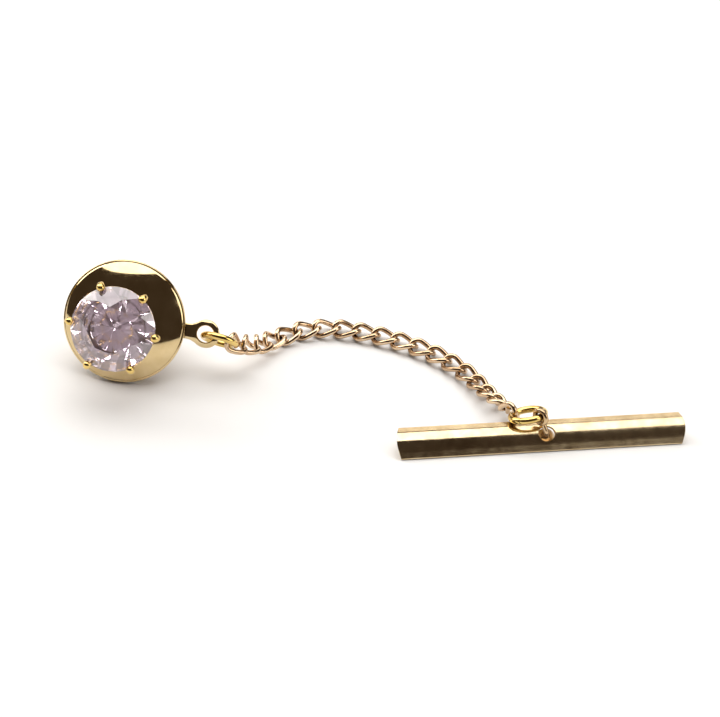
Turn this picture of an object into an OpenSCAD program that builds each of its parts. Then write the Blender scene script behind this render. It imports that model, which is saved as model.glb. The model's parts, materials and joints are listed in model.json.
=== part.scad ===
// Tie tack with a round stone, a ball-lock clutch button, a curb chain and a T-bar.
// It lies on a table: +X runs along the chain towards the bar, and +Z is up.

/* [Clutch button] */
// Outside diameter of the domed clutch button
button_d = 9.5; // [9.3:0.1:10.2]
// Height of the dome's crown above its rim plane
dome_h = 1.5; // [1.2:0.1:1.6]
// Thickness of the stamped sheet of dome, rear shell and ear
sheet_t = 0.3; // [0.25:0.05:0.3]
// Tilt of the clutch axis above the table, in degrees
tilt = 30; // [28:0.5:32]
// Turn of the clutch axis to the left, in degrees
turn = 12; // [8:1:16]
// Diameter of the pull knob
knob_d = 4.2; // [4:0.05:4.2]
// Distance from the axis to the middle of the ear's eye
ear_reach = 6.32; // [6.2:0.02:6.6]
// Outside diameter of the ear's eye
eye_d = 2.2; // [2.1:0.05:2.3]
// Diameter of the hole in the ear
eye_hole_d = 1.32; // [1.26:0.02:1.36]

/* [Tack] */
// Diameter of the round brilliant stone
stone_d = 6.5; // [6:0.1:6.8]
// Number of claws round the stone
claws = 6; // [4:1:7]
// Diameter of the pin post
post_d = 1.0; // [0.9:0.05:1]
// Height of the stone's girdle above the dome's rim plane
girdle_z = 4.8; // [4.7:0.05:5]

/* [Chain] */
// Distance from one link to the next
pitch = 1.58; // [1.56:0.01:1.6]
// Diameter of the chain wire
chain_wire = 0.4; // [0.34:0.02:0.4]
// Width of a link between its wire centres
link_w = 1.3; // [1.25:0.05:1.4]
// Twist of a link from end to end, in degrees
link_twist = 90; // [84:1:96]
// Outside diameter of the two jump rings
ring_d = 3.1; // [3:0.05:3.2]
// Diameter of the jump ring wire
ring_wire = 0.54; // [0.5:0.02:0.54]

/* [T-bar] */
// Length of the bar
bar_l = 22.2; // [20:0.1:24]
// Outside radius of the bar's rolled sheet
bar_r = 1.47; // [1.45:0.01:1.5]
// Half of the arc that the rolled sheet spans, in degrees
bar_arc = 57; // [54:1:58]
// Thickness of the bar's rolled sheet
bar_t = 0.3; // [0.25:0.01:0.3]
// Diameter of the hole in the bar's crown
bar_hole_d = 1.25; // [1.2:0.05:1.3]

/* [Hidden] */
links = 19;
function link_name(i) = str("chain_link_", i < 10 ? "0" : "", i);
$fn = 64;

// clutch, along its own axis: z = 0 is the dome's rim plane, and the stone is on the + side
button_r = button_d / 2;
dome_rs = (button_r * button_r + dome_h * dome_h) / (2 * dome_h);
dome_hole_r = 0.65;
skirt_z = -0.35;
seat_z = skirt_z - sheet_t;
clutch_up = button_r * cos(tilt) - skirt_z * sin(tilt);
clutch_at = [-19.03, 3.09, clutch_up];
ear_angle = -2.4;
ear_w = 1.2;
seam = 0.01;

// lock: three balls in a cage, pressed by the spring into a cone until they grip the post
post_r = post_d / 2;
running = 0.06;
ball_r = 0.45;
ball_z = -1.75;
ball_gap = 0.02;
ball_reach = post_r + ball_r + ball_gap;
cone_angle = 16;
cone_at_ball = ball_reach + (ball_r + ball_gap) / cos(cone_angle);
cone_front_z = -0.8;
cone_back_z = -2.6;
cone_r = 2.2;
cage_r = 1.05;
cage_front_z = -1.05;
flange_r = 1.5;
flange_z = -2.55;
flange_t = 0.2;
spring_turns = 2;
spring_wire = 0.16;
spring_coil_r = 1.22;
spring_bore_r = 1.62;
spring_back_z = -3.65;
shell_back_z = -3.95;
shell_bore_r = cone_r + 0.05;
shell_r = shell_bore_r + 0.3;
stem_r = 0.9;
stem_end_z = -4.6;
knob_rim_z = skirt_z - (button_r - knob_d / 2) / tan(tilt);
knob_front_z = shell_back_z - 0.08;

// tack: the post is straight as far as the dome's crown, then tapers a little, with two notches for the balls
base_z = girdle_z - 3.02;
base_r = 0.95;
taper_z = dome_h - 0.06;
taper_d = 0.02;
notch_z = [-3.0, -3.8];
notch_l = 0.4;
notch_d = 0.1;
point_l = 0.6;
tip_z = -5.0;

// chain route: heading, rise and roll of the links in degrees, as [link, angle] at the ends of each
// straight or evenly turning stretch
headings = [[0, 38], [1.5, 51], [2.5, 50], [7, -13], [11, -33], [15, -62], [18, -62]];
rises = [[0, -30], [1, -29], [2, -22], [3, -9], [4, 0], [14, 0], [15, 2], [18, 18]];
rolls = [[0, 45], [4, 6], [14, 0], [18, -45]];
chain_start = [-10.49, 2.11, 2.57];
link_l = pitch + chain_wire + 0.03;
link_sides = 8;
link_rings = 34;

// jump rings: the first hangs in the ear's eye, given in the clutch's own axes, and the second ends the chain
ring_rc = (ring_d - ring_wire) / 2;
ring_dir = [0.92, -0.234, -0.314];
ring_through = [0.372, 0.271, 0.888];
ring_shift = [-0.1, -0.08];
bar_ring_at = [11.62, -5.51, 1.93];
bar_ring_heading = 138;
bar_ring_rise = -21;
bar_ring_roll = 8;

// T-bar, which rests on one lip of its rolled sheet, and the eye pin that joins it to the second ring
bar_at = [12.55, -6.065, 0];
bar_turn = 5;
bar_roll = 90 - bar_arc;
bar_hole_x = 0.4;
bar_end_inset = 0.33;
eye_pin_rc = 0.52;
eye_pin_wire = 0.4;

function unit(v) = v / norm(v);
function dir(az, el) = [cos(el) * cos(az), cos(el) * sin(az), sin(el)];
function heading(i) = lookup(i, headings);
function rise(i) = lookup(i, rises);
function roll(i) = lookup(i, rolls);
function link_dir(i) = dir(heading(i), rise(i));
function link_at(i) = i == 0 ? chain_start : link_at(i - 1) + pitch / 2 * (link_dir(i - 1) + link_dir(i));
bar_ring_dir = dir(bar_ring_heading, bar_ring_rise);
bar_ring_level = dir(bar_ring_heading + 90, 0);
bar_ring_across = cos(bar_ring_roll) * bar_ring_level
    + sin(bar_ring_roll) * cross(bar_ring_dir, bar_ring_level);

module in_clutch() {
    translate(clutch_at) rotate([90 - tilt, 0, -turn]) children();
}

// the bar's own axes: x along it, z through its crown, and the middle of the rolled sheet's arc at z = 0
module in_bar() {
    translate(bar_at) rotate([bar_roll, 0, bar_turn]) children();
}

module tube_from(z0, z1, r_out, r_in) {
    translate([0, 0, z0]) difference() {
        cylinder(h = z1 - z0, r = r_out);
        translate([0, 0, -1]) cylinder(h = z1 - z0 + 2, r = r_in);
    }
}

// turns a shape's x, y and z onto the unit vectors u, v and u x v, at the point c
module placed(c, u, v) {
    w = cross(u, v);
    multmatrix([[u[0], v[0], w[0], c[0]], [u[1], v[1], w[1], c[1]], [u[2], v[2], w[2], c[2]], [0, 0, 0, 1]])
        children();
}

// a closed circle of wire round the point c, in the plane of the unit vectors u and v
module wire_ring(c, u, v, rc, wire) {
    placed(c, u, v) rotate_extrude() translate([rc, 0]) circle(d = wire, $fn = 24);
}

// a tube of wire along a closed or an open run of points
module sweep(points, r, sides, closed) {
    n = len(points);
    function at(i) = points[(i + n) % n];
    function tangent(i) = unit(closed ? at(i + 1) - at(i - 1)
        : points[min(i + 1, n - 1)] - points[max(i - 1, 0)]);
    // each ring's side vector is the one before it, turned as little as it can be
    function carry(s, t) = unit(s - (s * t) * t);
    side0 = unit(cross(tangent(0), abs(tangent(0)[2]) < 0.9 ? [0, 0, 1] : [1, 0, 0]));
    side = [for (i = 0, s = side0; i < n; i = i + 1, s = i < n ? carry(s, tangent(i)) : s) s];
    corners = [for (i = [0 : n - 1], k = [0 : sides - 1])
        let (a = 360 * k / sides)
        points[i] + r * (cos(a) * side[i] + sin(a) * cross(tangent(i), side[i]))];
    // a closed run joins its last ring to the nearest corners of its first one
    s_end = carry(side[n - 1], tangent(0));
    slip = closed ? round(atan2(s_end * cross(tangent(0), side0), s_end * side0) / 360 * sides) : 0;
    function corner(i, k) = i < n ? i * sides + (k + sides) % sides : (k + slip + sides) % sides;
    walls = [for (i = [0 : (closed ? n : n - 1) - 1], k = [0 : sides - 1], half = [0, 1])
        half == 0 ? [corner(i + 1, k + 1), corner(i, k + 1), corner(i, k)]
            : [corner(i + 1, k), corner(i + 1, k + 1), corner(i, k)]];
    first_cap = [for (k = [0 : sides - 1]) k];
    last_cap = [for (k = [sides - 1 : -1 : 0]) (n - 1) * sides + k];
    caps = closed ? [] : [first_cap, last_cap];
    polyhedron(points = corners, faces = concat(walls, caps), convexity = 6);
}

// a stretch of the dome's section between the radii r0 and r1, on a sphere of radius rs
function dome_arc(rs, crown_z, r0, r1, n = 20) =
    [for (i = [0 : n]) let (r = r0 + (r1 - r0) * i / n) [r, crown_z - rs + sqrt(rs * rs - r * r)]];

module clutch_dome() {
    bead = 0.05;
    outer = dome_arc(dome_rs, dome_h, dome_hole_r, button_r - 0.02);
    inner = dome_arc(dome_rs, dome_h - sheet_t, dome_hole_r, button_r - sheet_t);
    color("goldenrod") in_clutch() rotate_extrude() polygon(concat(outer,
        [[button_r, -bead], [button_r, skirt_z], [button_r - sheet_t, skirt_z]],
        [for (i = [len(inner) - 1 : -1 : 0]) inner[i]]));
}

module ear_plate() {
    plate_r = button_r - 0.45;
    plate_hole_r = 1.6;
    color("goldenrod") in_clutch() rotate([0, 0, ear_angle]) translate([0, 0, seat_z + seam])
        linear_extrude(sheet_t - 2 * seam) difference() {
            union() {
                circle(r = plate_r);
                translate([0, -ear_w / 2]) square([ear_reach, ear_w]);
                translate([ear_reach, 0]) circle(d = eye_d);
            }
            circle(r = plate_hole_r);
            translate([ear_reach, 0]) circle(d = eye_hole_d);
        }
}

module rear_shell() {
    rim_r = button_r - 0.3;
    edge = 0.15;
    neck_z = seat_z - 0.65;
    bore_end_z = cone_back_z - 0.05;
    color("goldenrod") in_clutch() rotate_extrude() polygon([
        [shell_bore_r, seat_z], [rim_r, seat_z], [rim_r, seat_z - edge], [rim_r - edge, seat_z - 2 * edge],
        [shell_r + 0.35, seat_z - 2 * edge], [shell_r, neck_z], [shell_r, shell_back_z + sheet_t],
        [shell_r - sheet_t, shell_back_z], [stem_r + 0.1, shell_back_z], [stem_r + 0.1, spring_back_z],
        [spring_bore_r, spring_back_z], [spring_bore_r, bore_end_z], [shell_bore_r, bore_end_z]]);
}

module lock_cone() {
    front_r = cone_at_ball - (cone_front_z - ball_z) * tan(cone_angle);
    back_r = cone_at_ball + (ball_z - cone_back_z) * tan(cone_angle);
    color("silver") in_clutch() rotate_extrude() polygon([
        [front_r, cone_front_z], [cone_r, cone_front_z], [cone_r, cone_back_z], [back_r, cone_back_z]]);
}

module ball_cage() {
    color("silver") in_clutch() difference() {
        union() {
            tube_from(flange_z, cage_front_z, cage_r, post_r + running);
            tube_from(flange_z - flange_t, flange_z, flange_r, post_r + running);
            tube_from(stem_end_z, flange_z - flange_t, stem_r, post_r + running);
        }
        for (a = [0 : 120 : 240]) rotate([0, 0, a]) translate([0, 0, ball_z]) rotate([0, 90, 0])
            cylinder(h = 2 * cage_r, r = ball_r + ball_gap + seam);
    }
}

module lock_ball(k) {
    color("silver") in_clutch() rotate([0, 0, 120 * (k - 1)]) translate([ball_reach, 0, ball_z])
        sphere(r = ball_r);
}

module lock_spring() {
    steps = 16 * spring_turns;
    z0 = spring_back_z + spring_wire / 2 + seam;
    z1 = flange_z - flange_t - spring_wire / 2 - seam;
    color("lightgray") in_clutch() sweep([for (i = [0 : steps]) let (a = 360 * spring_turns * i / steps)
        [spring_coil_r * cos(a), spring_coil_r * sin(a), z0 + (z1 - z0) * i / steps]],
        spring_wire / 2, 6, false);
}

module pull_knob() {
    knob_r = knob_d / 2;
    collar_r = 1.5;
    pocket_r = 0.65;
    pocket_z = tip_z - 0.15;
    color("goldenrod") in_clutch() rotate_extrude() polygon([
        [stem_r, knob_front_z], [collar_r, knob_front_z], [collar_r, knob_rim_z + 0.55],
        [knob_r - 0.1, knob_rim_z + 0.15], [knob_r, knob_rim_z], [knob_r - 0.15, knob_rim_z - 0.2],
        [1.2, knob_rim_z - 0.42], [0, knob_rim_z - 0.5], [0, pocket_z], [pocket_r, pocket_z],
        [pocket_r, stem_end_z], [stem_r, stem_end_z]]);
}

// the stone's turned outline, grown all round by as much as a seat needs
module stone_form(grow) {
    r = stone_d / 2 + grow;
    table_r = 0.56 * r;
    crown = 1.0;
    pavilion = 2.75;
    girdle = 0.1;
    rotate_extrude($fn = 96) polygon([
        [0, girdle_z - pavilion - grow], [r, girdle_z - girdle], [r, girdle_z + girdle],
        [table_r, girdle_z + crown + grow], [0, girdle_z + crown + grow]]);
}

module stone() {
    color("lavender", 0.6) in_clutch() stone_form(0);
}

module claw_setting() {
    wire_r = 0.2;
    tip_r = 0.3;
    lip = stone_d / 2 + 0.16;
    foot_r = 0.8;
    gallery_z = girdle_z - 1.35;
    gallery_r = 1.92;
    turned = 56;
    color("gold") in_clutch() difference() {
        union() {
            translate([0, 0, base_z]) cylinder(h = wire_r, r = base_r);
            translate([0, 0, gallery_z]) rotate_extrude() translate([gallery_r, 0])
                circle(r = 0.85 * wire_r, $fn = 16);
            for (k = [0 : claws - 1]) rotate([0, 0, 360 * k / claws + turned]) hull() {
                translate([foot_r, 0, base_z + wire_r]) sphere(r = wire_r, $fn = 12);
                translate([lip, 0, girdle_z - 0.2]) sphere(r = wire_r, $fn = 12);
                translate([lip - 0.06, 0, girdle_z + 0.32]) sphere(r = tip_r, $fn = 12);
            }
        }
        stone_form(0.02);
    }
}

module pin_post() {
    slope = taper_d / (taper_z - tip_z);
    function post_at(z) = post_r - slope * (taper_z - z);
    function notch(z) = [[post_at(z), z], [post_at(z) - notch_d, z - notch_l / 2],
        [post_at(z - notch_l), z - notch_l]];
    color("gold") in_clutch() rotate_extrude() polygon(concat(
        [[0, base_z], [post_r, base_z], [post_r, taper_z]], notch(notch_z[0]), notch(notch_z[1]),
        [[post_at(tip_z + point_l), tip_z + point_l], [0, tip_z]]));
}

module jump_ring_clutch() {
    hang = unit(ring_dir);
    through = unit(ring_through - (ring_through * hang) * hang);
    eye = [ear_reach * cos(ear_angle) + ring_shift[0], ear_reach * sin(ear_angle) + ring_shift[1],
        seat_z + sheet_t / 2];
    color("gold") in_clutch() wire_ring(eye + ring_rc * hang, hang, through, ring_rc, ring_wire);
}

// centre line of a curb link: a flat oval, then the same oval twisted about its long axis
function half_turn(x, r, along, start) = let (a = along / r * 180 / PI + start) [x + r * cos(a), r * sin(a)];
function oval(t) = let (r = link_w / 2, s = link_l - link_w, half = s + PI * r, along = 2 * half * t)
    along < s ? [along - s / 2, -r]
    : along < half ? half_turn(s / 2, r, along - s, -90)
    : along < half + s ? [s / 2 - (along - half), r]
    : half_turn(-s / 2, r, along - half - s, 90);
function twisted(p) = let (a = -link_twist * p[0] / link_l) [p[0], p[1] * cos(a), p[1] * sin(a)];

module chain_link(i) {
    centre_line = [for (k = [0 : link_rings - 1]) twisted(oval(k / link_rings))];
    color(i % 2 == 0 ? "tan" : "burlywood") translate(link_at(i)) rotate([0, -rise(i), heading(i)])
        rotate([roll(i), 0, 0]) sweep(centre_line, chain_wire / 2, link_sides, true);
}

module jump_ring_bar() {
    color("gold") wire_ring(bar_ring_at, bar_ring_dir, bar_ring_across, ring_rc, ring_wire);
}

module eye_pin() {
    neck_r = eye_pin_wire / 2;
    knee_r = neck_r + 0.03;
    head_r = 0.78;
    head_z = 0.28;
    head_cut = 0.55;
    bend_z = bar_r - 0.02;
    ring_end = bar_ring_at - ring_rc * bar_ring_dir;
    bar_up = [sin(bar_roll) * sin(bar_turn), -sin(bar_roll) * cos(bar_turn), cos(bar_roll)];
    bend = bar_at + bar_hole_x * dir(bar_turn, 0) + bend_z * bar_up;
    up = unit(ring_end - bend);
    side = unit(cross(bar_ring_across, up));
    color("goldenrod") {
        wire_ring(ring_end, up, side, eye_pin_rc, eye_pin_wire);
        placed(bend, side, cross(up, side)) cylinder(h = norm(ring_end - bend) - eye_pin_rc, r = neck_r);
        // the shank stands in the bar's hole, and its domed head is wider than the hole
        in_bar() translate([bar_hole_x, 0, 0]) {
            translate([0, 0, bend_z]) sphere(r = knee_r);
            translate([0, 0, head_z + head_r / 2]) cylinder(h = bend_z - head_z - head_r / 2, r = neck_r);
            intersection() {
                translate([0, 0, head_z]) sphere(r = head_r);
                translate([0, 0, head_cut]) cylinder(h = head_r, r = head_r);
            }
        }
    }
}

module t_bar() {
    lip_z = bar_r * cos(bar_arc);
    far = 3 * bar_r;
    // half the bar's length at a height, because both ends lean back from the crown to the lips
    function half_l(z) = bar_l / 2 - bar_end_inset * (bar_r - z) / (bar_r - lip_z);
    color("khaki") in_bar() difference() {
        intersection() {
            rotate([90, 0, 90]) translate([0, 0, -bar_l]) linear_extrude(2 * bar_l) intersection() {
                difference() {
                    circle(r = bar_r);
                    circle(r = bar_r - bar_t);
                }
                polygon([[0, 0], [far * sin(bar_arc), far * cos(bar_arc)],
                    [-far * sin(bar_arc), far * cos(bar_arc)]]);
            }
            rotate([90, 0, 0]) translate([0, 0, -far]) linear_extrude(2 * far)
                polygon([[-half_l(0), 0], [half_l(0), 0], [half_l(far), far], [-half_l(far), far]]);
        }
        translate([bar_hole_x, 0, 0]) cylinder(h = 2 * bar_r, d = bar_hole_d);
    }
}

clutch_dome();
ear_plate();
rear_shell();
lock_cone();
ball_cage();
lock_ball(1);  // lock_ball_1
lock_ball(2);  // lock_ball_2
lock_ball(3);  // lock_ball_3
lock_spring();
pull_knob();
stone();
claw_setting();
pin_post();
jump_ring_clutch();
for (i = [1 : links]) chain_link(i - 1);
jump_ring_bar();
eye_pin();
t_bar();
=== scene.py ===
import json
import math

import bmesh
import bpy
from mathutils import Matrix, Vector


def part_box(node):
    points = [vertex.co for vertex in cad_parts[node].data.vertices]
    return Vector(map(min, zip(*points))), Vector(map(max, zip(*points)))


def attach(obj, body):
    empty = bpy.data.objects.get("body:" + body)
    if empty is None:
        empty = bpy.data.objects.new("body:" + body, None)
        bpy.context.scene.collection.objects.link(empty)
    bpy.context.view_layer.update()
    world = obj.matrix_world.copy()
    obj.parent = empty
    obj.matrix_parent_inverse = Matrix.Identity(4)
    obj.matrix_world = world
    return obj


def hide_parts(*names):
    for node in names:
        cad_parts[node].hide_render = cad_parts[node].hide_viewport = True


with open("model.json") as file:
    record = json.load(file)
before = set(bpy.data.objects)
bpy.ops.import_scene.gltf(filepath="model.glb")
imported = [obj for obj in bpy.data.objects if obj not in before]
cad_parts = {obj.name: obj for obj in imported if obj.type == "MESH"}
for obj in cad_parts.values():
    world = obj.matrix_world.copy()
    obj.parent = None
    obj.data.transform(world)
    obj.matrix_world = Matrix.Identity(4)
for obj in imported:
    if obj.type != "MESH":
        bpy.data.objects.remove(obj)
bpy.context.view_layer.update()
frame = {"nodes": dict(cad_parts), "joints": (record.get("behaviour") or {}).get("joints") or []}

MM = 0.001
JOINTS = {j["name"]: j for j in frame["joints"]}
SMOOTH_ANGLE = math.radians(32)


def joint_at(name):
    return Vector(JOINTS[name]["pos_m"])


def joint_axis(name):
    return Vector(JOINTS[name]["axis"]).normalized()


def axes(origin, x, y):
    """The frame at origin, in metres, whose children are drawn in millimetres along x, y and x cross y."""
    return Matrix.Translation(origin) @ Matrix((x, y, x.cross(y))).transposed().to_4x4() @ Matrix.Scale(MM, 4)


# the clutch's own axes: z through the stone, and the dome's rim at z = 0
clutch_n = joint_axis("race_spin")
clutch_e1 = Vector((0, 0, 1)).cross(clutch_n).normalized()
clutch_c = joint_at("race_spin")
CLUTCH = axes(clutch_c, clutch_e1, clutch_n.cross(clutch_e1))

# ---------------------------------------------------------------- camera
CAMERA_HEIGHT_ANGLE = math.radians(38)
CAMERA_AWAY = 0.3465
PAN = math.radians(2.995)
TILT = math.radians(0.48)
ahead = Vector((0, math.cos(CAMERA_HEIGHT_ANGLE), -math.sin(CAMERA_HEIGHT_ANGLE)))
above = Vector((0, math.sin(CAMERA_HEIGHT_ANGLE), math.cos(CAMERA_HEIGHT_ANGLE)))
looking = (ahead + math.tan(PAN) * Vector((1, 0, 0)) - math.tan(TILT) * above).normalized()
to_right = looking.cross(above).normalized()
camera_data = bpy.data.cameras.new("camera")
camera_data.lens = 225
camera_data.sensor_width = 36
camera_data.clip_start = 0.01
camera_data.clip_end = 20
camera = bpy.data.objects.new("camera", camera_data)
bpy.context.scene.collection.objects.link(camera)
turned = Matrix((to_right, to_right.cross(looking), -looking)).transposed().to_4x4()
camera.matrix_world = Matrix.Translation(clutch_c - 0.1 * MM * clutch_n - CAMERA_AWAY * ahead) @ turned
bpy.context.scene.camera = camera


# ---------------------------------------------------------------- mesh helpers
def keep(name, bm, body, stands_for, material, smooth=SMOOTH_ANGLE):
    """Makes a piece from a bmesh that is already in place, with normals outward."""
    bmesh.ops.recalc_face_normals(bm, faces=bm.faces)
    mesh = bpy.data.meshes.new(name)
    bm.to_mesh(mesh)
    bm.free()
    if smooth:
        for face in mesh.polygons:
            face.use_smooth = True
        mesh.set_sharp_from_angle(angle=smooth)
    mesh.materials.append(material)
    obj = bpy.data.objects.new(name, mesh)
    bpy.context.scene.collection.objects.link(obj)
    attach(obj, body)
    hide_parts(*stands_for)
    return obj


def rounded(points, radius, steps=4, loop=True):
    """The outline with each corner replaced by a small arc."""
    out = []
    n = len(points)
    for i, p in enumerate(points):
        if not loop and i in (0, n - 1):
            out.append(tuple(p))
            continue
        a, b, c = Vector(points[i - 1]), Vector(p), Vector(points[(i + 1) % n])
        if b.x < 1e-6:
            out.append(tuple(b))
            continue
        cut_a = min(radius, 0.45 * (a - b).length)
        cut_c = min(radius, 0.45 * (c - b).length)
        start = b + (a - b).normalized() * cut_a
        end = b + (c - b).normalized() * cut_c
        for k in range(steps + 1):
            t = k / steps
            out.append(tuple((1 - t) ** 2 * start + 2 * t * (1 - t) * b + t * t * end))
    return out


def add_lathe(bm, profile, place, segments=192):
    rings = []
    for k in range(segments):
        a = 2 * math.pi * k / segments
        rings.append([bm.verts.new(place @ Vector((r * math.cos(a), r * math.sin(a), z))) for r, z in profile])
    n = len(profile)
    for k in range(segments):
        here, there = rings[k], rings[(k + 1) % segments]
        for i in range(n):
            j = (i + 1) % n
            if profile[i][0] < 1e-6 and profile[j][0] < 1e-6:
                continue
            bm.faces.new((here[i], here[j], there[j], there[i]))
    bmesh.ops.remove_doubles(bm, verts=bm.verts, dist=1e-7)


def add_wire(bm, points, radius, closed, sides=16, flat=1.0):
    """A wire along points (Vectors, metres); radius is a number or one number a point, in metres."""
    n = len(points)
    radii = radius if isinstance(radius, list) else [radius] * n
    tangents = []
    for i in range(n):
        if closed:
            t = points[(i + 1) % n] - points[i - 1]
        else:
            t = points[min(i + 1, n - 1)] - points[max(i - 1, 0)]
        tangents.append(t.normalized())
    guess = Vector((0, 0, 1)) if abs(tangents[0].z) < 0.9 else Vector((1, 0, 0))
    sides_of = [tangents[0].cross(guess).normalized()]
    for t in tangents[1:]:
        s = sides_of[-1]
        sides_of.append((s - s.dot(t) * t).normalized())
    slip = 0.0
    if closed:
        s = sides_of[-1]
        s = (s - s.dot(tangents[0]) * tangents[0]).normalized()
        slip = math.atan2(s.dot(tangents[0].cross(sides_of[0])), s.dot(sides_of[0]))
    rings = []
    for i in range(n):
        other = tangents[i].cross(sides_of[i])
        back = -slip * i / n
        ring = []
        for k in range(sides):
            a = 2 * math.pi * k / sides + back
            ring.append(bm.verts.new(points[i] + radii[i] * (math.cos(a) * sides_of[i] + flat * math.sin(a) * other)))
        rings.append(ring)
    for i in range(n if closed else n - 1):
        here, there = rings[i], rings[(i + 1) % n]
        for k in range(sides):
            m = (k + 1) % sides
            bm.faces.new((here[k], there[k], there[m], here[m]))
    if not closed:
        bm.faces.new(list(reversed(rings[0])))
        bm.faces.new(rings[-1])


def thin_axis(node):
    """The direction in which a flat ring's CAD mesh is thinnest."""
    import numpy as np

    co = np.array([v.co for v in frame["nodes"][node].data.vertices], float)
    values, vectors = np.linalg.eigh(np.cov((co - co.mean(0)).T))
    return Vector(vectors[:, 0])


def middle(node):
    low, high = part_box(node)
    return (low + high) / 2


# ---------------------------------------------------------------- materials
def link_up(tree, source, target):
    tree.links.new(source, target)


def mottled(tree, scale, detail=3.0, stretch=None):
    coords = tree.nodes.new("ShaderNodeTexCoord")
    noise = tree.nodes.new("ShaderNodeTexNoise")
    noise.inputs["Scale"].default_value = scale
    noise.inputs["Detail"].default_value = detail
    if stretch:
        mapping = tree.nodes.new("ShaderNodeMapping")
        mapping.inputs["Scale"].default_value = stretch
        mapping.inputs["Rotation"].default_value = (0.3, 0.2, 0.5)
        link_up(tree, coords.outputs["Object"], mapping.inputs["Vector"])
        link_up(tree, mapping.outputs["Vector"], noise.inputs["Vector"])
    else:
        link_up(tree, coords.outputs["Object"], noise.inputs["Vector"])
    return noise.outputs["Fac"]


def ramp(tree, source, stops):
    node = tree.nodes.new("ShaderNodeValToRGB")
    node.color_ramp.elements[0].position, node.color_ramp.elements[0].color = stops[0][0], (*stops[0][1], 1)
    node.color_ramp.elements[1].position, node.color_ramp.elements[1].color = stops[-1][0], (*stops[-1][1], 1)
    for at, colour in stops[1:-1]:
        node.color_ramp.elements.new(at).color = (*colour, 1)
    link_up(tree, source, node.inputs["Fac"])
    return node.outputs["Color"]


def spread(tree, source, low, high):
    node = tree.nodes.new("ShaderNodeMapRange")
    node.inputs["From Min"].default_value = 0.3
    node.inputs["From Max"].default_value = 0.7
    node.inputs["To Min"].default_value = low
    node.inputs["To Max"].default_value = high
    link_up(tree, source, node.inputs["Value"])
    return node.outputs["Result"]


def bumped(tree, source, strength, distance, before=None):
    node = tree.nodes.new("ShaderNodeBump")
    node.inputs["Strength"].default_value = strength
    node.inputs["Distance"].default_value = distance
    link_up(tree, source, node.inputs["Height"])
    if before:
        link_up(tree, before, node.inputs["Normal"])
    return node.outputs["Normal"]


def more_worn(tree, roughness, from_x, to_x, extra):
    """Adds roughness along the piece, from the place from_x to the place to_x in metres."""
    coords = tree.nodes.new("ShaderNodeTexCoord")
    split = tree.nodes.new("ShaderNodeSeparateXYZ")
    link_up(tree, coords.outputs["Object"], split.inputs["Vector"])
    along = tree.nodes.new("ShaderNodeMapRange")
    along.inputs["From Min"].default_value = from_x
    along.inputs["From Max"].default_value = to_x
    along.inputs["To Min"].default_value = 0.0
    along.inputs["To Max"].default_value = extra
    link_up(tree, split.outputs["X"], along.inputs["Value"])
    total = tree.nodes.new("ShaderNodeMath")
    link_up(tree, roughness, total.inputs[0])
    link_up(tree, along.outputs["Result"], total.inputs[1])
    return total.outputs["Value"]


def metal(name, deep, bright, rough, wave=0.05, scratch=0.15, grain=0.0, crevice_shade_colour=(0.22, 0.14, 0.08), worn=None):
    """A cast or drawn metal: patchy colour with painted shade darkening it in its crevices, fine scratches and soft
    waves.
    """
    material = bpy.data.materials.new(name)
    material.use_nodes = True
    tree = material.node_tree
    shader = tree.nodes["Principled BSDF"]
    shader.inputs["Metallic"].default_value = 1.0
    colour = ramp(tree, mottled(tree, 700), [(0.3, deep), (0.65, bright)])
    # painted shade: where ambient occlusion finds crevices and gaps between parts, the colour is multiplied towards a
    # dark brown
    crevice = tree.nodes.new("ShaderNodeAmbientOcclusion")
    crevice.samples = 4
    crevice.inputs["Distance"].default_value = 0.35 * MM
    painted_crevice_shade = ramp(tree, crevice.outputs["AO"], [(0.15, crevice_shade_colour), (0.75, (1, 1, 1))])
    both = tree.nodes.new("ShaderNodeMix")
    both.data_type = "RGBA"
    both.blend_type = "MULTIPLY"
    both.inputs["Factor"].default_value = 1.0
    link_up(tree, colour, both.inputs["A"])
    link_up(tree, painted_crevice_shade, both.inputs["B"])
    link_up(tree, both.outputs["Result"], shader.inputs["Base Color"])
    roughness = spread(tree, mottled(tree, 2200, 5.0), rough[0], rough[1])
    if worn:
        roughness = more_worn(tree, roughness, *worn)
    link_up(tree, roughness, shader.inputs["Roughness"])
    normal = bumped(tree, mottled(tree, 260), wave, 0.02 * MM)
    normal = bumped(tree, mottled(tree, 6000, 4.0, (0.08, 1.0, 1.0)), scratch, 0.004 * MM, normal)
    if grain:
        normal = bumped(tree, mottled(tree, 9000, 4.0), grain, 0.01 * MM, normal)
    link_up(tree, normal, shader.inputs["Normal"])
    return material


polished_gold = metal("polished_gold", (0.60, 0.45, 0.23), (0.70, 0.55, 0.31), (0.04, 0.10), wave=0.12)
satin_gold = metal("satin_gold", (0.45, 0.30, 0.17), (0.66, 0.48, 0.28), (0.16, 0.30), scratch=0.4, grain=0.2)
bright_gold = metal("bright_gold", (0.66, 0.45, 0.13), (0.82, 0.60, 0.22), (0.08, 0.18))
# the chain's links get a darker painted shade in their crevices and in the gaps between them
pale_gold = metal("pale_gold", (0.52, 0.35, 0.21), (0.76, 0.57, 0.38), (0.10, 0.22), wave=0.3, crevice_shade_colour=(0.14, 0.08, 0.05))
aged_gold = metal("aged_gold", (0.52, 0.39, 0.22), (0.70, 0.56, 0.35), (0.07, 0.15), wave=0.15, scratch=0.6, grain=0.2,
                  worn=(0.004, 0.016, 0.11))
steel = metal("steel", (0.55, 0.55, 0.56), (0.70, 0.70, 0.71), (0.14, 0.26), scratch=0.3)


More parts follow.
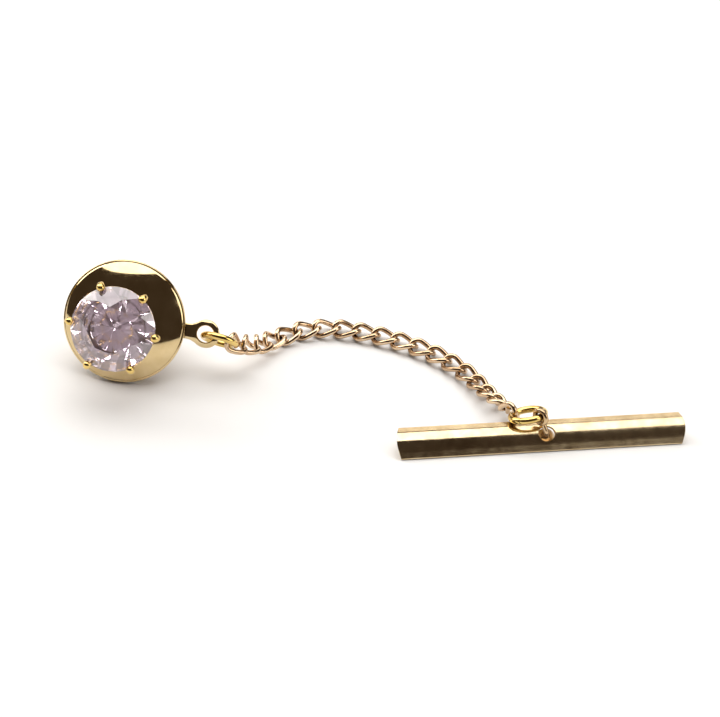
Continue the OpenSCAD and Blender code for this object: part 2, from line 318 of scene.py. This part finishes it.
def gem(name):
    material = bpy.data.materials.new(name)
    material.use_nodes = True
    tree = material.node_tree
    shader = tree.nodes["Principled BSDF"]
    shader.inputs["Transmission Weight"].default_value = 0.9
    shader.inputs["IOR"].default_value = 2.15
    tint = ramp(tree, mottled(tree, 500), [(0.3, (0.80, 0.64, 0.74)), (0.7, (0.96, 0.87, 0.93))])
    link_up(tree, tint, shader.inputs["Base Color"])
    link_up(tree, spread(tree, mottled(tree, 3000), 0.0, 0.02), shader.inputs["Roughness"])
    return material


stone_glass = gem("stone_glass")


# ---------------------------------------------------------------- clutch
BUTTON_R, DOME_H, SHEET = 4.75, 1.5, 0.3
DOME_RS = (BUTTON_R**2 + DOME_H**2) / (2 * DOME_H)
SKIRT_Z = -0.35
SEAT_Z = SKIRT_Z - SHEET


def dome_z(r, drop=0.0):
    return DOME_H - drop - DOME_RS + math.sqrt(DOME_RS**2 - r * r)


def dome_run(r0, r1, n, drop=0.0):
    return [(r0 + (r1 - r0) * i / n, dome_z(r0 + (r1 - r0) * i / n, drop)) for i in range(n + 1)]


lip_r = 0.09
edge = 0.09
edge_at = (BUTTON_R - edge, dome_z(BUTTON_R - edge) - edge)
bead = [(edge_at[0] + edge * math.cos(a), edge_at[1] + edge * math.sin(a))
        for a in [math.radians(60 - 6 * k) for k in range(11)]]
outside = (
    [(0.65, dome_z(0.65) - lip_r), (0.67, dome_z(0.67) - 0.03), (0.72, dome_z(0.72))]
    + dome_run(0.8, BUTTON_R - 0.16, 44)
    + [(BUTTON_R - 0.145, dome_z(BUTTON_R - 0.145) - 0.02), (BUTTON_R - 0.125, dome_z(BUTTON_R - 0.125))]
    + bead
    + [(BUTTON_R - 0.01, SKIRT_Z + 0.08), (BUTTON_R - 0.06, SKIRT_Z), (BUTTON_R - 0.26, SKIRT_Z)]
)
inside = dome_run(BUTTON_R - SHEET, 0.65, 20, SHEET)
bm = bmesh.new()
add_lathe(bm, outside + inside, CLUTCH, 256)
keep("dome", bm, "clutch", ["clutch_dome"], polished_gold)

# ear: a tab with a round eye, its edges rolled over
EAR_REACH, EAR_W, EYE_R, EYE_HOLE_R = 6.32, 1.2, 1.1, 0.66
ear_turn = math.radians(-2.4)
curve = bpy.data.curves.new("ear_outline", "CURVE")
curve.dimensions = "2D"
curve.fill_mode = "BOTH"
curve.bevel_depth = 0.085
curve.bevel_resolution = 5
curve.extrude = (SHEET - 0.02) / 2 - 0.085
neck = math.asin(EAR_W / 2 / EYE_R)
outline = [(3.0, -EAR_W / 2), (4.9, -EAR_W / 2), (5.2, -EAR_W / 2 - 0.03)]
outline += [(EAR_REACH + EYE_R * math.cos(a), EYE_R * math.sin(a))
            for a in [-math.pi + neck + 0.25 + (2 * math.pi - 2 * neck - 0.5) * k / 64 for k in range(65)]]
outline += [(5.2, EAR_W / 2 + 0.03), (4.9, EAR_W / 2), (3.0, EAR_W / 2)]
hole = [(EAR_REACH + EYE_HOLE_R * math.cos(a), EYE_HOLE_R * math.sin(a))
        for a in [2 * math.pi * k / 64 for k in range(64)]]
inset = 0.085


def shrink(points, by):
    out = []
    n = len(points)
    for i in range(n):
        a, b, c = Vector(points[i - 1]), Vector(points[i]), Vector(points[(i + 1) % n])
        d = (c - a).normalized()
        out.append(b + by * Vector((-d.y, d.x)))
    return out


for ring in (shrink(outline, inset), shrink(hole, -inset)):
    spline = curve.splines.new("POLY")
    spline.points.add(len(ring) - 1)
    for point, p in zip(spline.points, ring):
        point.co = (p.x, p.y, 0, 1)
    spline.use_cyclic_u = True
drawn = bpy.data.objects.new("ear_drawn", curve)
bpy.context.scene.collection.objects.link(drawn)
bpy.context.view_layer.update()
ear_mesh = bpy.data.meshes.new_from_object(drawn.evaluated_get(bpy.context.evaluated_depsgraph_get()))
bpy.data.objects.remove(drawn)
bm = bmesh.new()
bm.from_mesh(ear_mesh)
bmesh.ops.remove_doubles(bm, verts=bm.verts, dist=1e-4)
CROWN_STEP, EAR_CROWN = 0.07, 0.25
for k in range(-15, 16):
    bmesh.ops.bisect_plane(bm, geom=bm.verts[:] + bm.edges[:] + bm.faces[:], dist=1e-5,
                           plane_co=(0, CROWN_STEP * k, 0), plane_no=(0, 1, 0))
for v in bm.verts:
    v.co.z += EAR_CROWN * (0.35 - v.co.y**2)
bmesh.ops.transform(bm, matrix=CLUTCH @ Matrix.Rotation(ear_turn, 4, "Z") @ Matrix.Translation((0, 0, SEAT_Z + SHEET / 2)),
                    verts=bm.verts)
keep("ear", bm, "clutch", ["ear_plate"], polished_gold)

# rear shell and the knob that is pulled to let the post go
SHELL_R, SHELL_BACK, STEM_R, KNOB_R = 2.55, -3.95, 0.9, 2.1
rim = BUTTON_R - 0.3
shell = rounded(
    [(2.25, SEAT_Z), (rim, SEAT_Z), (rim, SEAT_Z - 0.18), (rim - 0.2, SEAT_Z - 0.32), (SHELL_R + 0.45, SEAT_Z - 0.36),
     (SHELL_R + 0.12, SEAT_Z - 0.62), (SHELL_R, SEAT_Z - 1.0), (SHELL_R, -2.3), (SHELL_R - 0.06, -2.38),
     (SHELL_R - 0.06, -2.5), (SHELL_R, -2.58), (SHELL_R, SHELL_BACK + 0.3), (SHELL_R - 0.3, SHELL_BACK),
     (STEM_R + 0.12, SHELL_BACK), (STEM_R + 0.12, -3.65), (1.62, -3.65), (1.62, -2.65), (2.25, -2.65)], 0.08)
bm = bmesh.new()
add_lathe(bm, shell, CLUTCH, 192)
keep("shell", bm, "clutch", ["rear_shell"], satin_gold)

knob_rim_z = SKIRT_Z - (BUTTON_R - KNOB_R) / math.tan(math.radians(30))
knob = rounded(
    [(0, -5.2), (0.62, -5.2), (0.62, -4.63), (STEM_R, -4.63), (STEM_R, SHELL_BACK - 0.08), (1.42, SHELL_BACK - 0.08),
     (1.5, SHELL_BACK - 0.14), (1.5, -4.2), (1.44, -4.26), (1.44, -4.34), (1.5, -4.4), (1.62, knob_rim_z + 0.42),
     (KNOB_R - 0.14, knob_rim_z + 0.14), (KNOB_R - 0.01, knob_rim_z), (KNOB_R - 0.14, knob_rim_z - 0.17),
     (1.25, knob_rim_z - 0.38), (0, knob_rim_z - 0.48)], 0.07)
bm = bmesh.new()
add_lathe(bm, knob, CLUTCH, 192)
keep("knob", bm, "pull_knob", ["pull_knob"], satin_gold)

# ---------------------------------------------------------------- tack
GIRDLE, STONE_R = 4.8, 3.25
CROWN, PAVILION, HALF_GIRDLE = 1.0, 2.75, 0.1
TABLE_R = 0.56 * STONE_R


def polar(r, degrees, z):
    a = math.radians(degrees)
    return Vector((r * math.cos(a), r * math.sin(a), z))


def cut_with(bm, a, b, c):
    """Keeps the side of the plane through three points where the stone's middle is."""
    normal = (b - a).cross(c - a).normalized()
    if normal.dot(a - Vector((0, 0, 0))) < 0:
        normal.negate()
    made = bmesh.ops.bisect_plane(bm, geom=bm.verts[:] + bm.edges[:] + bm.faces[:], dist=1e-6, plane_co=a,
                                  plane_no=normal, clear_outer=True)
    edges = [e for e in made["geom_cut"] if isinstance(e, bmesh.types.BMEdge)]
    open_edges = [e for e in edges if e.is_boundary]
    if len(open_edges) > 2:
        bmesh.ops.edgeloop_fill(bm, edges=open_edges)


bm = bmesh.new()
bmesh.ops.create_cone(bm, cap_ends=True, segments=96, radius1=STONE_R, radius2=STONE_R, depth=8)
SPIN = 9
junction_r = 0.76 * STONE_R
slope = (CROWN - HALF_GIRDLE) / (STONE_R - TABLE_R)
junction_z = HALF_GIRDLE + slope * (STONE_R - junction_r * math.cos(math.radians(22.5)))
low_r = 0.22 * STONE_R
low_z = -PAVILION + (PAVILION - HALF_GIRDLE) / STONE_R * low_r * math.cos(math.radians(22.5))
table = [polar(1, a, CROWN) for a in (0, 120, 240)]
cut_with(bm, *table)
for k in range(8):
    t = SPIN + 45 * k
    across = polar(1, t + 90, 0)
    cut_with(bm, polar(TABLE_R, t, CROWN), polar(STONE_R, t, HALF_GIRDLE), polar(TABLE_R, t, CROWN) + across)
    cut_with(bm, polar(0, t, -PAVILION), polar(STONE_R, t, -HALF_GIRDLE), polar(0, t, -PAVILION) + across)
for k in range(8):
    t = SPIN + 45 * k
    cut_with(bm, polar(TABLE_R, t, CROWN), polar(TABLE_R, t + 45, CROWN), polar(junction_r, t + 22.5, junction_z))
    for end in (0, 45):
        cut_with(bm, polar(STONE_R, t + end, HALF_GIRDLE), polar(STONE_R, t + 22.5, HALF_GIRDLE),
                 polar(junction_r, t + 22.5, junction_z))
        cut_with(bm, polar(STONE_R, t + end, -HALF_GIRDLE), polar(STONE_R, t + 22.5, -HALF_GIRDLE),
                 polar(low_r, t + 22.5, low_z))
bmesh.ops.remove_doubles(bm, verts=bm.verts, dist=1e-5)
bmesh.ops.transform(bm, matrix=CLUTCH @ Matrix.Translation((0, 0, GIRDLE)), verts=bm.verts)
keep("gem", bm, "tack", ["stone"], stone_glass, smooth=None)

BASE_Z = GIRDLE - 3.02
prong = [(0.80, 1.98, 0.19), (1.2, 2.4, 0.2), (1.7, 2.95, 0.2), (2.25, 3.52, 0.2), (2.8, 4.05, 0.2), (3.2, 4.42, 0.21),
         (3.42, 4.66, 0.22), (3.5, 4.86, 0.235), (3.48, 5.02, 0.27), (3.41, 5.14, 0.31), (3.32, 5.22, 0.33),
         (3.21, 5.29, 0.31), (3.12, 5.34, 0.24), (3.06, 5.37, 0.12)]
bm = bmesh.new()
for turn in (51, 111, 176, 241, 301, 356):
    add_wire(bm, [CLUTCH @ polar(r, turn, z) for r, z, _ in prong], [w * MM for _, _, w in prong], False, 20)
keep("setting", bm, "tack", ["claw_setting"], bright_gold)
bm = bmesh.new()
for radius, z, wire in ((1.92, GIRDLE - 1.35, 0.16), (1.0, GIRDLE - 2.62, 0.14)):
    add_wire(bm, [CLUTCH @ polar(radius, 5 * k, z) for k in range(72)], wire * MM, True, 14)
add_lathe(bm, rounded([(0, BASE_Z), (0.95, BASE_Z), (0.98, BASE_Z + 0.24), (0.72, BASE_Z + 0.34), (0, BASE_Z + 0.2)], 0.06),
          CLUTCH, 96)
gallery = keep("gallery", bm, "tack", ["claw_setting"], bright_gold)
gallery.visible_transmission = False

post = rounded([(0, BASE_Z - 0.0), (0.5, BASE_Z), (0.5, 1.44), (0.488, -3.0), (0.4, -3.2), (0.486, -3.4), (0.486, -3.8),
                (0.4, -4.0), (0.484, -4.2), (0.482, -4.4), (0, -5.0)], 0.05)
bm = bmesh.new()
add_lathe(bm, post, CLUTCH, 96)
keep("post", bm, "tack", ["pin_post"], bright_gold)

# ---------------------------------------------------------------- jump rings
RING_RC, RING_WIRE = 1.28 * MM, 0.27 * MM


def jump_ring(name, body, node, gap_towards):
    """A round ring of wire with the fine joint where its ends were pressed together."""
    centre, normal = middle(node), thin_axis(node)
    u = (gap_towards - gap_towards.dot(normal) * normal).normalized()
    v = normal.cross(u)
    half = 0.012
    run = [half + (2 * math.pi - 2 * half) * k / 127 for k in range(128)]
    bm = bmesh.new()
    radii = [RING_WIRE * (0.93 if k in (0, 127) else 1.0) for k in range(128)]
    add_wire(bm, [centre + RING_RC * (math.cos(a) * u + math.sin(a) * v) for a in run], radii, False, 28)
    return keep(name, bm, body, [node], bright_gold)


jump_ring("ring_by_clutch", "ring_clutch", "jump_ring_clutch", Vector((0.6, 0.2, -0.8)))
jump_ring("ring_by_bar", "ring_bar", "jump_ring_bar", Vector((-0.4, -0.6, 0.3)))

# ---------------------------------------------------------------- chain
LINKS = 19
LINK_L, LINK_W, LINK_WIRE, TWIST = 2.01, 1.3, 0.4, math.radians(-90)


def oval(t):
    """A point of the link's flat centre line, an oval of two straights and two half turns."""
    r, s = LINK_W / 2, LINK_L - LINK_W
    half = s + math.pi * r
    along = 2 * half * t
    if along < s:
        return along - s / 2, -r
    if along < half:
        a = (along - s) / r - math.pi / 2
        return s / 2 + r * math.cos(a), r * math.sin(a)
    if along < half + s:
        return s / 2 - (along - half), r
    a = (along - half - s) / r + math.pi / 2
    return -s / 2 + r * math.cos(a), r * math.sin(a)


def link_piece(i):
    node = f"chain_link_{i:02d}"
    centre = middle(node)
    if i < LINKS:
        x = (joint_at(f"link_{i + 1:02d}") - centre).normalized()
    else:
        x = (centre - joint_at(f"link_{i:02d}")).normalized()
    own = joint_axis(f"link_{i:02d}")
    own = (own - own.dot(x) * x).normalized()
    z = own if i % 2 == 1 else x.cross(own)
    place = axes(centre, x, z.cross(x))
    steps = 84
    run = []
    for k in range(steps):
        px, py = oval(k / steps)
        a = TWIST * px / LINK_L
        run.append(place @ Vector((px, py * math.cos(a), py * math.sin(a))))
    bm = bmesh.new()
    add_wire(bm, run, LINK_WIRE / 2 * MM, True, 14)
    keep(f"link_{i:02d}", bm, f"link_{i:02d}", [node], pale_gold)


for number in range(1, LINKS + 1):
    link_piece(number)

# ---------------------------------------------------------------- bar and its eye pin
BAR_L, BAR_R, BAR_T, BAR_ARC, HOLE_X, HOLE_R, END_LEAN = 22.2, 1.47, 0.3, math.radians(57), 0.4, 0.625, 0.33
bar_up = joint_axis("bar_swivel")
if bar_up.z < 0:
    bar_up.negate()
bar_x = Vector((0, 0, 1)).cross(bar_up)
bar_x = -bar_x.normalized() if bar_x.x < 0 else bar_x.normalized()
bar_hub = joint_at("bar_swivel") - BAR_R * MM * bar_up
BAR = axes(bar_hub - HOLE_X * MM * bar_x, bar_x, bar_up.cross(bar_x))

FLAT_FROM = math.radians(35)
FACE_ARC = BAR_ARC - math.radians(3.2)
LIP_ROUND = 0.08


def arc_point(angle, radius):
    """The section's surface: round at the crown, then straight down to each lip."""
    bend = max(-FLAT_FROM, min(FLAT_FROM, angle))
    run = radius * math.tan(angle - bend)
    return (math.sin(bend) * radius + math.cos(bend) * run, math.cos(bend) * radius - math.sin(bend) * run)


def lip(side):
    """The rounded edge that joins the section's two faces, from outside to inside at the -1 side, back out at the +1 side."""
    first = Vector(arc_point(side * FACE_ARC, BAR_R if side < 0 else BAR_R - BAR_T))
    last = Vector(arc_point(side * FACE_ARC, BAR_R - BAR_T if side < 0 else BAR_R))
    half = (last - first) / 2
    down = Vector((side * math.cos(FLAT_FROM), -math.sin(FLAT_FROM)))
    return [tuple(first + half * (1 - math.cos(t)) + LIP_ROUND * math.sin(t) * down)
            for t in [math.pi * k / 8 for k in range(1, 8)]]


section = []
mid_r = BAR_R - BAR_T / 2
for k in range(49):
    a = FACE_ARC - 2 * FACE_ARC * k / 48
    section.append(arc_point(a, BAR_R))
section += lip(-1)
for k in range(49):
    a = -FACE_ARC + 2 * FACE_ARC * k / 48
    section.append(arc_point(a, BAR_R - BAR_T))
section += lip(1)

lip_z = BAR_R * math.cos(BAR_ARC)
stations = [-1.0, -0.998, -0.9] + [k / 10 for k in range(-8, 9)] + [0.9, 0.998, 1.0]
bm = bmesh.new()
loops = []
for s in stations:
    round_off = 0.05 if abs(s) == 1.0 else 0.0
    loop = []
    for y, z in section:
        half = BAR_L / 2 - END_LEAN * max(0.0, min(1.0, (BAR_R - z) / (BAR_R - lip_z)))
        p = Vector((y, z))
        r = p.length
        p = p * (1 + (mid_r - r) / r * round_off * 2)
        loop.append(bm.verts.new(BAR @ Vector((s * half, p.x, p.y))))
    loops.append(loop)
n = len(section)
for a, b in zip(loops, loops[1:]):
    for i in range(n):
        bm.faces.new((a[i], b[i], b[(i + 1) % n], a[(i + 1) % n]))
bm.faces.new(loops[0])
bm.faces.new(list(reversed(loops[-1])))
bmesh.ops.remove_doubles(bm, verts=bm.verts, dist=1e-7)
bmesh.ops.recalc_face_normals(bm, faces=bm.faces)
bar_mesh = bpy.data.meshes.new("bar_blank")
bm.to_mesh(bar_mesh)
bm.free()
blank = bpy.data.objects.new("bar_blank", bar_mesh)
bm = bmesh.new()
add_lathe(bm, [(0, 0.4), (HOLE_R + 0.015, 0.4), (HOLE_R, 1.2), (HOLE_R, 1.38), (HOLE_R + 0.03, 1.45), (HOLE_R + 0.12, 1.55), (0, 1.55)],
          axes(bar_hub, bar_x, bar_up.cross(bar_x)), 96)
bmesh.ops.recalc_face_normals(bm, faces=bm.faces)
drill_mesh = bpy.data.meshes.new("drill")
bm.to_mesh(drill_mesh)
bm.free()
drill = bpy.data.objects.new("drill", drill_mesh)
for o in (blank, drill):
    bpy.context.scene.collection.objects.link(o)
cut = blank.modifiers.new("hole", "BOOLEAN")
cut.object = drill
cut.operation = "DIFFERENCE"
cut.solver = "EXACT"
bpy.context.view_layer.update()
bored = bpy.data.meshes.new_from_object(blank.evaluated_get(bpy.context.evaluated_depsgraph_get()))
bm = bmesh.new()
bm.from_mesh(bored)
for o in (blank, drill):
    bpy.data.objects.remove(o)
bar = keep("bar", bm, "bar", ["t_bar"], aged_gold)

eye_at = joint_at("eye_on_ring")
knee = bar_hub + (BAR_R - 0.02) * MM * bar_up
stem = (eye_at - knee).normalized()
eye_axis = joint_axis("eye_on_ring")
eye_u = (stem - stem.dot(eye_axis) * eye_axis).normalized()
eye_v = eye_axis.cross(eye_u)
EYE_RC, PIN_R = 0.52 * MM, 0.2 * MM
bm = bmesh.new()
stem_end = eye_at - (EYE_RC - 0.05 * MM) * stem
a_end = bar_hub + 0.7 * MM * bar_up
corner = knee
run = [a_end + (corner - a_end) * t for t in (0, 0.3, 0.6)]
b0, b2 = corner - 0.3 * MM * bar_up, corner + 0.3 * MM * stem
run += [(1 - t) ** 2 * b0 + 2 * t * (1 - t) * corner + t * t * b2 for t in [k / 10 for k in range(11)]]
run += [b2 + (stem_end - b2) * t for t in (0.5, 1.0)]
add_wire(bm, run, PIN_R, False, 20)
add_wire(bm, [eye_at + EYE_RC * (math.cos(a) * eye_u + math.sin(a) * eye_v) for a in [2 * math.pi * k / 72 for k in range(72)]],
         PIN_R, True, 20)
head = rounded([(0, 0.56), (0.7, 0.56), (0.66, 0.66), (0.5, 0.86), (0.22, 1.0), (0, 1.04)], 0.05)
add_lathe(bm, head, axes(bar_hub, bar_x, bar_up.cross(bar_x)), 64)
keep("eye_pin_wire", bm, "eye_pin", ["eye_pin"], satin_gold)

# ---------------------------------------------------------------- lock pieces, seen only when the clutch is open
for node in ("lock_cone", "ball_cage", "lock_ball_1", "lock_ball_2", "lock_ball_3", "lock_spring"):
    piece = frame["nodes"][node]
    piece.data.materials.clear()
    piece.data.materials.append(steel)

# ---------------------------------------------------------------- table, lights, world
floor_material = bpy.data.materials.new("white_table")
floor_material.use_nodes = True
tree = floor_material.node_tree
shader = tree.nodes["Principled BSDF"]
shade = ramp(tree, mottled(tree, 40), [(0.3, (0.86, 0.86, 0.86)), (0.7, (0.90, 0.90, 0.90))])
link_up(tree, shade, shader.inputs["Base Color"])
link_up(tree, spread(tree, mottled(tree, 400), 0.75, 0.85), shader.inputs["Roughness"])
shader.inputs["Specular IOR Level"].default_value = 0.2
bm = bmesh.new()
bmesh.ops.create_grid(bm, x_segments=8, y_segments=8, size=1.6)
floor_mesh = bpy.data.meshes.new("table")
bm.to_mesh(floor_mesh)
bm.free()
floor_mesh.materials.append(floor_material)
floor = bpy.data.objects.new("table", floor_mesh)
floor.location.z = -0.00002
bpy.context.scene.collection.objects.link(floor)

world = bpy.data.worlds.new("room")
bpy.context.scene.world = world
world.use_nodes = True
background = world.node_tree.nodes["Background"]
background.inputs["Color"].default_value = (0.06, 0.045, 0.035, 1)
background.inputs["Strength"].default_value = 1.0


def softbox(name, azimuth, elevation, away, width, height, watts, colour=(1, 1, 1)):
    """A rectangular light facing the object; azimuth 0 is the viewer's side, positive to the right."""
    a, e = math.radians(azimuth), math.radians(elevation)
    direction = Vector((math.sin(a) * math.cos(e), -math.cos(a) * math.cos(e), math.sin(e)))
    data = bpy.data.lights.new(name, "AREA")
    data.shape = "ELLIPSE"
    data.size, data.size_y = width, height
    data.energy = watts
    data.color = colour
    obj = bpy.data.objects.new(name, data)
    obj.location = away * direction
    obj.rotation_mode = "QUATERNION"
    obj.rotation_quaternion = direction.to_track_quat("Z", "Y")
    bpy.context.scene.collection.objects.link(obj)
    return obj


softbox("overhead", 180, 74, 0.8, 1.3, 0.86, 8.3, (1.0, 0.985, 0.96))
softbox("left_card", -122, 30, 0.75, 0.4, 0.5, 2.4, (1.0, 0.97, 0.93))
softbox("right_card", 72, 26, 0.75, 0.5, 0.6, 1.8, (1.0, 0.97, 0.93))
softbox("back_card", 180, 24, 0.9, 0.9, 0.45, 1.6, (1.0, 0.95, 0.88))
# seen only through the stone, whose facets turn them into its pale body and its flashes
GEM_CARDS = [(-14, 40, 0.75, 0.55, 0.36), (-48, 8, 0.14, 0.07, 0.6), (-30, 62, 0.07, 0.16, 0.6), (4, 18, 0.06, 0.14, 0.5),
             (22, 50, 0.06, 0.14, 0.5), (-62, 44, 0.14, 0.07, 0.6), (-12, 78, 0.14, 0.06, 0.5), (40, 30, 0.06, 0.14, 0.5)]
for k, (azimuth, elevation, width, height, watts) in enumerate(GEM_CARDS):
    card = softbox(f"gem_card_{k}", azimuth, elevation, 0.6, width, height, watts, (1.0, 0.90, 0.97))
    card.visible_diffuse = False
    card.visible_glossy = False
    card.visible_camera = False
bpy.context.scene.view_settings.view_transform = "Standard"
